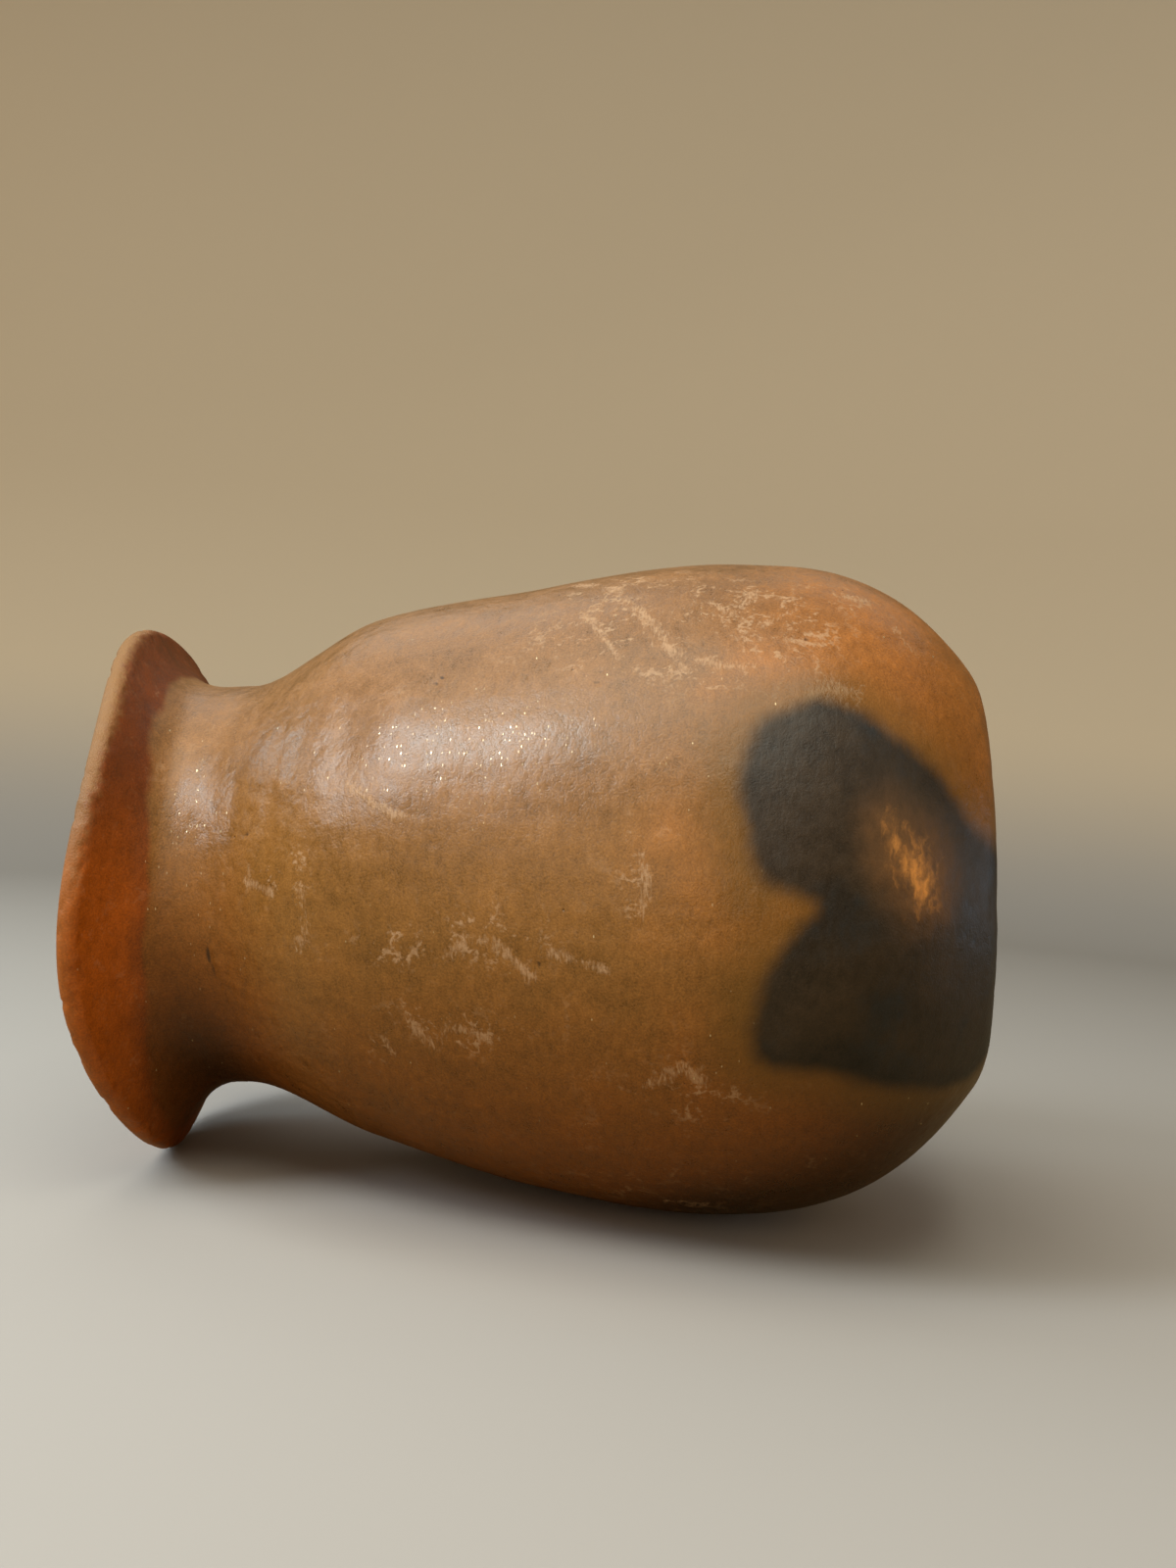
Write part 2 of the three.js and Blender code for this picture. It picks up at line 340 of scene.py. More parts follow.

# Single pale scratches, one of them partly a painted highlight: each one's half width, and the points that it
# runs through.
SCRATCH_AND_HIGHLIGHT_LINES = ((0.0013, ((0.0900, 262), (0.0857, 266), (0.0811, 265), (0.0759, 260))),
             (0.0013, ((0.0979, 249), (0.0932, 244.5), (0.0905, 249), (0.0866, 249), (0.0840, 248))),
             (0.0011, ((0.0576, 279), (0.0569, 275), (0.0577, 270))),
             (0.0008, ((0.0410, 276.5), (0.0398, 274))),
             (0.0010, ((0.1027, 243.5), (0.1008, 240))),
             (0.0014, ((0.1158, 271), (0.1153, 265), (0.1170, 259.5))),
             (0.0010, ((0.1275, 274), (0.1218, 271))),
             (0.0013, ((0.0622, 329), (0.0574, 321), (0.0541, 314), (0.0513, 310))),
             (0.0013, ((0.0541, 314), (0.0460, 311), (0.0403, 311))),
             (0.0011, ((0.0403, 319), (0.0335, 326))),
             (0.0013, ((0.0480, 327), (0.0438, 323.5), (0.0407, 331.5))),
             (0.0010, ((0.0694, 326), (0.0659, 319), (0.0628, 313))),
             (0.0018, ((0.0731, 344), (0.0652, 336))),
             (0.0021, ((0.0243, 334), (0.0217, 335))),
             # Partly a painted highlight: the pale crescent at the lower edge of the main highlight
             (0.0013, ((0.1084, 292), (0.1039, 288), (0.0992, 285.5), (0.0949, 285))),
             (0.0018, ((0.0328, 304), (0.0277, 308), (0.0242, 307))),
             (0.0011, ((0.0726, 264), (0.0680, 263), (0.0633, 262))),
             (0.0014, ((0.0579, 243), (0.0512, 247), (0.0481, 244))),
             (0.0011, ((0.0167, 328), (0.0133, 324))),
             (0.0016, ((0.0800, 120), (0.0720, 112), (0.0640, 118))),
             (0.0013, ((0.0500, 60), (0.0460, 72), (0.0380, 76))),
             (0.0014, ((0.1000, 30), (0.0900, 36), (0.0850, 50))),
             (0.0013, ((0.0700, 170), (0.0620, 178), (0.0600, 190))))

# The depth in an outline that the inside of the pot is given, far out of them all.
FAR_OUT = -0.05


def reach_table():
    """Heights of the outer wall and how far each is from the heel along the wall."""
    heights = np.linspace(0, RIM_HEIGHT, REACH_POINTS)
    return heights, distances_along(outer_points(heights))


def reach_of(height):
    """How far each height is from the heel along the wall. A height below 0 is so far in under the foot."""
    heights, reaches = reach_table()
    return np.where(height > 0, np.interp(height, heights, reaches), height)


def unrolled(reach, radius, angle):
    """The skin laid flat: how far up from the heel, and how far round from the middle of the shown side."""
    return np.column_stack((reach, radius * turned_from(angle, CAMERA_SIDE)))


def closed_curve(points, steps=8):
    """A smooth curve through points, and on back to the first."""
    share = np.linspace(0, 1, steps, endpoint=False)[:, None]
    before, after, beyond = (np.roll(points, turn, axis=0) for turn in (1, -1, -2))
    curve = []
    for a, b, c, d in zip(before, points, after, beyond):
        bend = (2 * a - 5 * b + 4 * c - d) * share**2 + (3 * b - a - 3 * c + d) * share**3
        curve.extend(b + ((c - a) * share + bend) / 2)
    return np.array(curve)


def on_skin(marks):
    """Marks given by height and angle, on the unrolled skin."""
    height, angle = np.array(marks).T
    radius = np.where(height > 0, wall_radius(np.maximum(height, 0)), RING_RADIUS[0] + height)
    return unrolled(reach_of(height), radius, np.radians(angle))


def gap_to(line, places):
    """How far each place on the unrolled skin is from a line."""
    nearest = np.full(len(places), np.inf)
    for start, end in zip(line, line[1:]):
        side = end - start
        share = np.clip((places - start) @ side / (side @ side), 0, 1)
        nearest = np.minimum(nearest, np.hypot(*(places - start - share[:, None] * side).T))
    return nearest


def depth_into(outline, places):
    """How far each place on the unrolled skin lies inside an outline, and below zero outside it."""
    curve = closed_curve(on_skin(outline))
    inside = np.zeros(len(places), bool)
    for start, end in zip(curve, np.roll(curve, -1, axis=0)):
        crosses = (start[1] > places[:, 1]) != (end[1] > places[:, 1])
        at = start[0] + (places[:, 1] - start[1]) / (end[1] - start[1] or MM) * (end[0] - start[0])
        inside ^= crosses & (places[:, 0] < at)
    nearest = gap_to([*curve, curve[0]], places)
    return np.where(inside, nearest, -nearest)


def max_of(values):
    return np.max(list(values), axis=0)


def scratch_and_highlight_strength(places):
    """1 along the middle of each line, fading to 0 beside it."""
    return max_of(np.exp(-((gap_to(on_skin(line), places) / half) ** 2)) for half, line in SCRATCH_AND_HIGHLIGHT_LINES)


# The pot as one skin, and its members

def column(rows, name, kind=float, width=1):
    """One value of every row as an array, or several of each."""
    values = np.empty(len(rows) * width, kind)
    rows.foreach_get(name, values)
    return values.reshape(-1, width) if width > 1 else values


def add_attribute(mesh, name, values):
    mesh.attributes.new(name, "FLOAT", "POINT").data.foreach_set("value", values)


def shaped_pot():
    """The whole pot in its place, with the marks in the clay, and the skin's facts as attributes."""
    turned, points, owners = turned_pot()
    mesh = bpy.data.meshes.new("whole_pot")
    turned.to_mesh(mesh)
    turned.free()
    place = column(mesh.attributes["place"].data, "value", np.int32)
    spun = column(mesh.vertices, "co", width=3)
    radius, height = points[place].T
    angle = np.arctan2(spun[:, 1], spun[:, 0])
    side = owners[np.minimum(place, len(owners) - 1), 1]
    shaped = hand_shaped(radius, height, angle)
    under_foot = np.maximum(RING_RADIUS[0] - HEEL_ROUND - radius, 0)
    height = np.where(height > 0, height, -under_foot)
    mesh.vertices.foreach_set("co", shaped.ravel())
    mesh.update()
    depth = np.zeros(len(place))
    outside, lip, inside = (side == which for which in (OUTSIDE, LIP, INSIDE))
    depth[outside] = skin_depth(shaped[outside], height[outside], angle[outside])
    depth[lip] = lip_depth(shaped[lip])
    depth[inside] = inside_depth(shaped[inside])
    normals = column(mesh.vertex_normals, "vector", width=3)
    mesh.vertices.foreach_set("co", (shaped - normals * depth[:, None]).ravel())
    along = distances_along(points)
    rim_edge = along[np.argmax(owners[:, 1] == LIP)]
    add_attribute(mesh, "past_rim", (along[place] - rim_edge) / MM)
    mark_skin(mesh, unrolled(reach_of(height), radius, angle), height, angle, outside)
    mesh.transform(POT_MATRIX)
    mesh.update()
    normals = column(mesh.vertex_normals, "vector", width=3)
    mesh.attributes.new("skin_normal", "FLOAT_VECTOR", "POINT").data.foreach_set("vector", normals.ravel())
    corners = column(mesh.loops, "vertex_index", np.int32)
    starts = column(mesh.polygons, "loop_start", np.int32)
    first_places = np.minimum.reduceat(place[corners], starts)
    mesh.attributes.new("member", "INT", "FACE").data.foreach_set("value", owners[first_places, 0].copy())
    return mesh, owners


def mark_skin(mesh, places, height, angle, outside):
    """Tells the finish where the smoke, the pale patch, the scuffs and the other marks lie."""
    for name, outline in (("smoke_depth", FIRE_CLOUD), ("golden_depth", GOLDEN_PATCH)):
        values = np.full(len(places), FAR_OUT)
        values[outside] = depth_into(outline, places[outside])
        add_attribute(mesh, name, values / MM)
    for name, spots in (("scuffed", SCUFFED), ("highlight_spots", HIGHLIGHT_PLACES), ("shade_and_stain", STAIN_AND_SHADE_SPOTS)):
        add_attribute(mesh, name, sum(spot(height, angle, centre, *size) for centre, size in spots))
    for name, values in (("opened", broken_skin(height, angle)), ("scratch_highlight_lines", scratch_and_highlight_strength(places))):
        add_attribute(mesh, name, np.where(outside, values, 0))


def seam_places(owners):
    """For each seam, its outer and inner place in the section."""
    places = {}
    for place, (before, after) in enumerate(zip(owners[:, 0], owners[1:, 0]), start=1):
        if before != after:
            places.setdefault(min(before, after), []).append(place)
    return places


def parted(whole, owners, member):
    """One member, parted from the whole pot along its seams, with a face of luted clay closing each."""
    name = MEMBERS[member] + "_clay"
    part = bmesh.new()
    part.from_mesh(whole)
    place = part.verts.layers.int["place"]
    belongs = part.faces.layers.int["member"]
    others = [face for face in part.faces if face[belongs] != member]
    bmesh.ops.delete(part, geom=others, context="FACES")
    borders = [edge for edge in part.edges if edge.is_boundary]
    for face in part.faces:
        face.smooth = True
    for edge in borders:
        edge.smooth = False
    for seam, places in seam_places(owners).items():
        if seam in (member - 1, member):
            rings = [edge for edge in borders if edge.verts[0][place] in places]
            for face in bmesh.ops.bridge_loops(part, edges=rings)["faces"]:
                face.material_index = 1
    bmesh.ops.recalc_face_normals(part, faces=part.faces)
    mesh = bpy.data.meshes.new(name)
    part.to_mesh(mesh)
    part.free()
    smooth_over_seams(mesh)
    return bpy.data.objects.new(name, mesh)


def smooth_over_seams(mesh):
    """The skin keeps the whole pot's normals, so that no seam shows, and the luted faces stay flat."""
    normals = column(mesh.attributes["skin_normal"].data, "vector", width=3)
    corners = column(mesh.loops, "vertex_index", np.int32)
    finish = column(mesh.polygons, "material_index", np.int32)
    sides = column(mesh.polygons, "loop_total", np.int32)
    is_skin = np.repeat(finish, sides) == 0
    mesh.normals_split_custom_set(normals[corners] * is_skin[:, None])
    for name in ("skin_normal", "place", "member"):
        mesh.attributes.remove(mesh.attributes[name])


# Finishes

class Finish:
    """A material whose nodes are made one call at a time. A value is a number, a colour or another output."""

    def __init__(self, name):
        self.material = bpy.data.materials.new(name)
        self.material.use_nodes = True
        self.tree = self.material.node_tree
        self.shader = self.tree.nodes["Principled BSDF"]

    def feed(self, socket, value):
        if isinstance(value, bpy.types.NodeSocket):
            self.tree.links.new(value, socket)
        else:
            socket.default_value = value

    def node(self, kind, inputs=(), **settings):
        node = self.tree.nodes.new("ShaderNode" + kind)
        for name, value in settings.items():
            setattr(node, name, value)
        for key, value in dict(inputs).items():
            self.feed(node.inputs[key], value)
        return node

    def sum(self, operation, *values):
        return self.node("Math", enumerate(values), operation=operation).outputs[0]

    def add(self, *values):
        return self.sum("ADD", values[0], self.add(*values[1:]) if len(values) > 2 else values[1])

    def times(self, *values):
        return self.sum("MULTIPLY", values[0], self.times(*values[1:]) if len(values) > 2 else values[1])

    def sum_of(self, start, *terms):
        """A start value with each pattern added by its weight."""
        return self.add(start, *(self.times(pattern, weight) for pattern, weight in terms))

    def less(self, value, taken):
        return self.sum("SUBTRACT", value, taken)

    def rise(self, value, low, high):
        """From 0 to 1 as the value passes from low to high, eased at both ends."""
        inputs = {"Value": value, "From Min": low, "From Max": high}
        return self.node("MapRange", inputs, interpolation_type="SMOOTHSTEP").outputs["Result"]

    def blend(self, share, first, second):
        """The first colour, going over to the second by a share."""
        node = self.node("Mix", data_type="RGBA")
        for key, value in ((0, share), (6, first), (7, second)):
            self.feed(node.inputs[key], value if key == 0 or not isinstance(value, tuple) else (*value, 1))
        return node.outputs[2]

    def scaled(self, colour, shade):
        return self.node("VectorMath", {0: colour, "Scale": shade}, operation="SCALE").outputs[0]

    def attribute(self, name):
        return self.node("Attribute", attribute_name=name).outputs["Fac"]

    def pot_place(self):
        """The place in the pot's own frame, in millimetres."""
        where = self.node("TexCoord").outputs["Object"]
        inputs = {"Vector": where, "Location": POT_MATRIX.translation, "Rotation": POT_MATRIX.to_euler(),
                  "Scale": (MM, MM, MM)}
        return self.node("Mapping", inputs, vector_type="TEXTURE").outputs[0]

    def stretched(self, place, along):
        return self.node("VectorMath", {0: place, 1: along}, operation="MULTIPLY").outputs[0]

    def pushed(self, place, push, amount):
        """A place, pushed about by a pattern."""
        inputs = {0: push, 1: (amount, amount, amount), 2: place}
        return self.node("VectorMath", inputs, operation="MULTIPLY_ADD").outputs[0]

    def noise(self, place, size, detail=2, shift=0.0):
        """Cloudy noise from about -0.5 to 0.5 with lumps of a size in millimetres."""
        moved = self.node("VectorMath", {0: place, 1: (shift, shift, shift)}, operation="ADD").outputs[0]
        inputs = {"Vector": moved, "Scale": 1 / size, "Detail": detail}
        return self.add(self.node("TexNoise", inputs).outputs["Fac"], -0.5)

    def finished(self, colour, roughness, relief):
        """Sets the colour, the roughness and the relief, which is in millimetres."""
        bump = self.node("Bump", {"Height": relief, "Distance": MM, "Strength": 1.0})
        self.feed(self.shader.inputs["Base Color"], colour)
        self.feed(self.shader.inputs["Roughness"], roughness)
        self.feed(self.shader.inputs["Normal"], bump.outputs[0])
        return self.material


OLIVE_CLAY = (0.270, 0.119, 0.025)
# A paler, cooler tan on the side that lies uppermost: painted sheen from the light above
SHEEN_TAN_CLAY = (0.27, 0.126, 0.044)
ORANGE_CLAY = (0.375, 0.130, 0.018)
# Painted shade on the underside and low on the neck, under the flange
PAINTED_SHADE_CLAY = (0.24, 0.072, 0.006)
RIM_CLAY = (0.42, 0.095, 0.002)
# Painted shade on the flange, next to the neck and on the side that lies uppermost
RIM_SHADE = (0.28, 0.064, 0.003)
RIM_UPPER_SHADE = (0.13, 0.026, 0.001)
# Worn pale lip, partly a painted highlight where the lip's edge catches the light
WORN_AND_LIT_LIP = (0.30, 0.145, 0.045)
HALO_CLAY = (0.135, 0.070, 0.010)
SMOKE_BROWN = (0.032, 0.019, 0.009)
# Slate soot, partly a painted cool reflection
SMOKE_SLATE_SHEEN = (0.012, 0.014, 0.016)
SINGED_CLAY = (0.17, 0.075, 0.020)
# Golden clay where the smoke missed, its bright streaked core partly a painted highlight
GOLDEN_CLAY_HIGHLIGHT = (0.90, 0.38, 0.08)
SCUFF_CLAY = (0.60, 0.375, 0.215)
INSIDE_CLAY = (0.20, 0.085, 0.024)
CRACK_CLAY = (0.060, 0.024, 0.006)
SLIP_DARK, SLIP_PALE = (0.22, 0.10, 0.04), (0.30, 0.15, 0.07)
MICA = (0.90, 0.74, 0.46)

# How much a pattern's place is squeezed, so that the pattern is longer around the pot than along it
ROUND_THE_POT = (0.25, 0.25, 1.0)
FEATHERED = (0.35, 0.35, 1.0)
DASHED = (0.4, 0.4, 1.0)
DAUBED = (0.6, 0.6, 1.0)

# The lumps of each pattern, in millimetres, and how many jolts and mica flakes there are to a millimetre
CLOUDS, PATCHES, MOTTLES, GRAINS, STROKES = 34, 9, 1.5, 0.35, 0.7
CLUSTERS, WISPS, FEATHERS, HAIRLINE_NET, SPECK_NET = 4.5, 0.9, 0.4, 7, 3.5
SMOKE_WAVES, SLATE_CLOUDS, FIBRES, LIP_FLAKES, DENTS = 9, 16, 1.0, 1.3, 3.2
JOLTS_A_MM, MICA_A_MM = 0.45, 2.4

# Where something comes in, from none of it to all of it, in millimetres: by the height up the pot,
ORANGE_LOW, NECK_SHADE_HIGH, DULL_HIGH = (75, 15), (118, 134), (124, 134)
DENTED_ABOVE, DENTED_BELOW = (104, 118), (140, 130)
FLANGE_EDGE, OPEN_FLANGE_EDGE = (147.6, 149.0), (148.5, 152.0)
# by how far it lies above the pot's axis,
SHEEN_ABOVE, COOLER_ABOVE, RIM_SHADE_ABOVE, FLANGE_HIGHER_ABOVE = (4, 44), (15, 55), (0, 22), (5, 30)
SOOT_SHADE_BELOW, UNDERSIDE_SHADE = (-12, -40), -55
# by how far it lies inside the smoke's edge or the pale patch's,
SMOKE_EDGE, HALO_EDGE, DARK_EDGE = (-2.6, 2.0), (-12.0, -0.5), (7, 2)
SINGED_EDGE, GOLDEN_EDGE = (-7.5, 1.0), (-1.5, 6.5)
# and by how far it lies past the edge of the rim.
WORN_EDGE, WORN_END, INSIDE_EDGE = (0.2, 3.6), (10, 6), (9, 15)

# The sides of the pot, in degrees, where the flange begins lowest and where the lip is palest: wear and
# painted highlight
FLANGE_MIDDLE, WORN_LIT_MIDDLE = 285, 320


class OllaClay(Finish):
    """The fired clay. Its patterns run over the whole pot, from member to member."""

    def __init__(self, name):
        super().__init__(name)
        place = self.place = self.pot_place()
        self.x, y, self.height = self.node("SeparateXYZ", {0: place}).outputs
        self.angle = self.sum("ARCTAN2", y, self.x)
        self.cloudy = self.noise(place, CLOUDS, 4)
        self.patchy = self.noise(place, PATCHES, 4, shift=40)
        self.mottled = self.noise(self.stretched(place, DAUBED), MOTTLES, 4, shift=80)
        self.grainy = self.noise(place, GRAINS, 2, shift=120)
        self.stroked = self.noise(self.stretched(place, ROUND_THE_POT), STROKES, 3, shift=160)
        jolt = self.node("TexNoise", {"Vector": place, "Scale": JOLTS_A_MM, "Detail": 4}).outputs["Color"]
        self.jolt = self.node("VectorMath", {0: jolt, 1: (-0.5, -0.5, -0.5)}, operation="ADD").outputs[0]
        self.past_rim = self.attribute("past_rim")
        self.highlight_spots = self.attribute("highlight_spots")

    def body(self):
        """Olive; tan above as painted sheen; orange towards the foot; painted shade below and low on the
        neck.
        """
        # The paler tan on the side that lies uppermost is painted sheen from the light above.
        above = self.rise(self.sum_of(self.x, (self.patchy, 9)), *SHEEN_ABOVE)
        colour = self.blend(above, OLIVE_CLAY, SHEEN_TAN_CLAY)
        # Less orange on the side that lies uppermost, as part of that painted sheen.
        warm = self.sum_of(self.rise(self.height, *ORANGE_LOW), (self.rise(self.x, *COOLER_ABOVE), -0.2),
                           (self.cloudy, 0.9), (self.patchy, 0.5))
        colour = self.blend(self.rise(warm, 0.1, 1.15), colour, ORANGE_CLAY)
        # Painted shade: darker on the underside and around the neck under the flange.
        painted_shade = self.sum_of(self.times(self.x, 1 / UNDERSIDE_SHADE), (self.rise(self.height, *NECK_SHADE_HIGH), 0.45),
                            (self.patchy, 0.3))
        return self.blend(self.rise(painted_shade, 0.0, 1.0), colour, PAINTED_SHADE_CLAY)

    def flange_line(self):
        """The height, measured from a line just above the neck that wavers on its way round."""
        turned = self.sum("COSINE", self.add(self.times(self.angle, 2), radians(-2 * FLANGE_MIDDLE)))
        above = self.rise(self.x, *FLANGE_HIGHER_ABOVE)
        return self.sum_of(self.height, (turned, 2.7), (self.patchy, 2.5), (above, -1.5))

    def flange(self, line):
        """A deeper orange, with painted shade next to the neck's line and on the side that lies uppermost."""
        opened = self.rise(self.sum_of(line, (self.x, -0.03), (self.patchy, 1.5)), *OPEN_FLANGE_EDGE)
        colour = self.blend(opened, RIM_SHADE, RIM_CLAY)
        return self.blend(self.times(self.rise(self.x, *RIM_SHADE_ABOVE), 0.75), colour, RIM_UPPER_SHADE)

    def shade(self):
        """Cloudy, mottled and finely stroked tones of the clay, darker low down: painted shade, partly fire
        stain.
        """
        shade = self.sum_of(1.0, (self.cloudy, 0.35), (self.patchy, 0.65), (self.mottled, 0.60),
                            (self.grainy, 1.1), (self.stroked, 0.25))
        # Painted shade low on the side towards the floor, partly fire stain at the foot
        darkened_low = self.rise(self.sum_of(self.attribute("shade_and_stain"), (self.patchy, 0.35)), 0.05, 1.15)
        return self.times(self.sum("MAXIMUM", shade, 0.55), self.less(1.0, self.times(darkened_low, 0.80)))

    def scuffs(self):
        """Pale flecks and short strokes in loose clusters, with a few longer scratches, one partly a painted
        highlight.
        """
        inputs = {"Vector": self.pushed(self.place, self.jolt, 5), "Scale": 1 / HAIRLINE_NET}
        net = self.node("TexVoronoi", inputs, feature="DISTANCE_TO_EDGE")
        hairline = self.rise(net.outputs["Distance"], 0.07, 0.01)
        wispy = self.noise(self.place, WISPS, 4, shift=240)
        cluster = self.noise(self.place, CLUSTERS, 3, shift=280)
        fleck = self.rise(self.sum_of(wispy, (cluster, 0.7), (hairline, 0.10)), 0.10, 0.32)
        stroke = self.times(hairline, self.rise(self.add(wispy, cluster), -0.06, 0.16), 0.85)
        scuffed = self.rise(self.sum_of(self.attribute("scuffed"), (self.patchy, 0.8)), -0.10, 0.60)
        flecks = self.times(self.sum("MAXIMUM", fleck, stroke), scuffed)
        scratch_highlight_lines = self.attribute("scratch_highlight_lines")
        feathery = self.noise(self.stretched(self.place, FEATHERED), FEATHERS, 3, shift=260)
        feathery = self.rise(self.sum_of(scratch_highlight_lines, (feathery, 2.6), (cluster, 1.8)), 0.5, 1.5)
        return self.sum("MAXIMUM", flecks, self.times(feathery, self.rise(scratch_highlight_lines, 0.05, 0.6)))

    def specks(self):
        """Small holes left by grains that came out of the skin."""
        specks = self.node("TexVoronoi", {"Vector": self.place, "Scale": 1 / SPECK_NET})
        chance = self.node("SeparateColor", {0: specks.outputs["Color"]}).outputs[0]
        return self.times(self.rise(specks.outputs["Distance"], 0.08, 0.03), self.rise(chance, 0.95, 0.97))

    def smoke_ragged(self):
        """What makes the edges of the smoke ragged."""
        waves = self.noise(self.place, SMOKE_WAVES, 3, shift=300)
        return self.sum_of(self.grainy, (waves, 3.0), (self.mottled, 1.6))

    def soot(self, ragged, into):
        """Soot: brown, slate partly a painted cool reflection, painted shade below, and a golden patch partly
        a painted highlight.
        """
        # The slate patches are partly soot and partly a painted cool reflection.
        slate = self.sum_of(self.noise(self.place, SLATE_CLOUDS, 3, shift=340), (self.mottled, 0.3))
        colour = self.blend(self.rise(slate, -0.02, 0.26), SMOKE_BROWN, SMOKE_SLATE_SHEEN)
        # Painted shade: the soot darker on the underside.
        shade = self.sum_of(1.0, (self.patchy, 1.8), (self.mottled, 1.1), (self.grainy, 0.9),
                            (self.rise(self.x, *SOOT_SHADE_BELOW), -0.55), (self.rise(into, *DARK_EDGE), -0.25))
        colour = self.scaled(colour, shade)
        depth = self.sum_of(self.attribute("golden_depth"), (ragged, 0.7))
        singed = self.sum_of(0.70, (self.patchy, 1.2), (self.mottled, 0.8))
        colour = self.blend(self.times(self.rise(depth, *SINGED_EDGE), singed), colour, SINGED_CLAY)
        fibres = self.stretched(self.pushed(self.place, self.jolt, 3), FEATHERED)
        # The golden patch: clay the smoke missed, its bright core partly a painted highlight.
        golden = self.sum_of(depth, (self.noise(fibres, FIBRES, 5, shift=380), 11))
        return self.blend(self.sum("POWER", self.rise(golden, *GOLDEN_EDGE), 1.4), colour, GOLDEN_CLAY_HIGHLIGHT)

    def worn(self):
        """The lip is worn in ragged flakes, most on the side that lies uppermost, where its pale band is
        partly a painted highlight.
        """
        upper = self.rise(self.sum("COSINE", self.add(self.angle, radians(-WORN_LIT_MIDDLE))), 0.5, 1.0)
        flaky = self.noise(self.place, LIP_FLAKES, 4, shift=420)
        worn = self.add(self.past_rim, self.sum_of(upper, (self.patchy, 4.0), (flaky, 4.0)))
        worn, ending = self.rise(worn, *WORN_EDGE), self.rise(self.past_rim, *WORN_END)
        return self.times(worn, ending, self.sum_of(0.2, (upper, 0.75)))

    def wiped(self):
        """Inside, the clay is only wiped smooth."""
        shade = self.sum_of(1.0, (self.cloudy, 0.6), (self.patchy, 0.5), (self.grainy, 0.3))
        return self.scaled(INSIDE_CLAY, shade)

    def flakes(self):
        """Mica flakes: small dashes that lie along the burnisher's strokes."""
        dashed = self.stretched(self.place, DASHED)
        flakes = self.node("TexVoronoi", {"Vector": dashed, "Scale": MICA_A_MM})
        chance, glint, _ = self.node("SeparateColor", {0: flakes.outputs["Color"]}).outputs
        # More flakes where the highlight falls: partly painted glints
        chance = self.rise(self.sum_of(chance, (self.highlight_spots, 0.28)), 0.990, 0.995)
        glint = self.sum_of(0.3, (self.sum("POWER", glint, 3.0), 0.7))
        return self.times(self.rise(flakes.outputs["Distance"], 0.28, 0.18), chance, glint)

    def crumpled(self):
        """Fine dents, deepest between the shoulder and the neck, in millimetres."""
        above, below = self.rise(self.height, *DENTED_ABOVE), self.rise(self.height, *DENTED_BELOW)
        deep = self.sum_of(0.12, (self.times(above, below), 0.26))
        return self.times(self.noise(self.place, DENTS, 3, shift=440), deep)


def olla_clay(name):
    """Burnished clay with its scuffs, fire cloud, worn lip, wiped inside and mica."""
    clay = OllaClay(name)
    line = clay.flange_line()
    on_flange = clay.rise(line, *FLANGE_EDGE)
    scuffs, specks, worn = clay.scuffs(), clay.specks(), clay.worn()
    opened = clay.rise(clay.attribute("opened"), 0.25, 0.8)
    ragged = clay.smoke_ragged()
    into = clay.add(clay.attribute("smoke_depth"), ragged)
    smoke = clay.rise(into, *SMOKE_EDGE)
    inside = clay.rise(clay.sum_of(clay.past_rim, (clay.patchy, 5)), *INSIDE_EDGE)
    flakes = clay.times(clay.flakes(), clay.less(1.0, inside), clay.less(1.0, smoke))

    colour = clay.scaled(clay.blend(on_flange, clay.body(), clay.flange(line)), clay.shade())
    colour = clay.blend(clay.times(scuffs, 0.60), colour, SCUFF_CLAY)
    colour = clay.blend(clay.sum("MAXIMUM", clay.times(specks, 0.5), opened), colour, CRACK_CLAY)
    colour = clay.blend(clay.times(clay.rise(into, *HALO_EDGE), 0.62), colour, HALO_CLAY)
    colour = clay.blend(clay.times(smoke, 0.985), colour, clay.soot(ragged, into))
    colour = clay.blend(worn, colour, WORN_AND_LIT_LIP)
    colour = clay.blend(inside, colour, clay.wiped())
    colour = clay.blend(flakes, colour, MICA)
    clay.feed(clay.shader.inputs["Metallic"], clay.times(flakes, 0.6))

    # The burnished gloss, duller where the clay is scuffed, worn, smoked or only wiped
    rough = clay.sum_of(0.34, (clay.mottled, 0.24), (clay.patchy, 0.22), (clay.grainy, 0.12),
                        (clay.highlight_spots, -0.06), (clay.rise(clay.height, *DULL_HIGH), 0.06), (scuffs, 0.2),
                        (worn, 0.2), (on_flange, 0.06), (smoke, 0.14), (inside, 0.3), (flakes, -0.3))
    relief = clay.sum_of(clay.crumpled(), (clay.mottled, 0.11), (clay.grainy, 0.05), (clay.stroked, 0.010),
                         (scuffs, 0.03), (specks, -0.10), (clay.times(inside, clay.grainy), 0.12),
                         (clay.times(worn, clay.grainy), 0.10))
    return clay.finished(colour, rough, relief)


def luted_clay():
    """The faces of a joint: scored across both ways and smeared with slip."""
    clay = Finish("luted_clay")
    place = clay.pot_place()
    x, y, _ = clay.node("SeparateXYZ", {0: place}).outputs
    scored = [clay.sum("SINE", clay.times(clay.sum_of(x, (y, slant)), 3.2)) for slant in (0.8, -0.8)]
    smear = clay.noise(place, 3, 4)
    colour = clay.blend(clay.rise(smear, -0.2, 0.2), SLIP_DARK, SLIP_PALE)
    relief = clay.sum_of(clay.times(smear, 0.2), *((score, 0.15) for score in scored))
    return clay.finished(colour, clay.sum_of(0.8, (smear, 0.2)), relief)


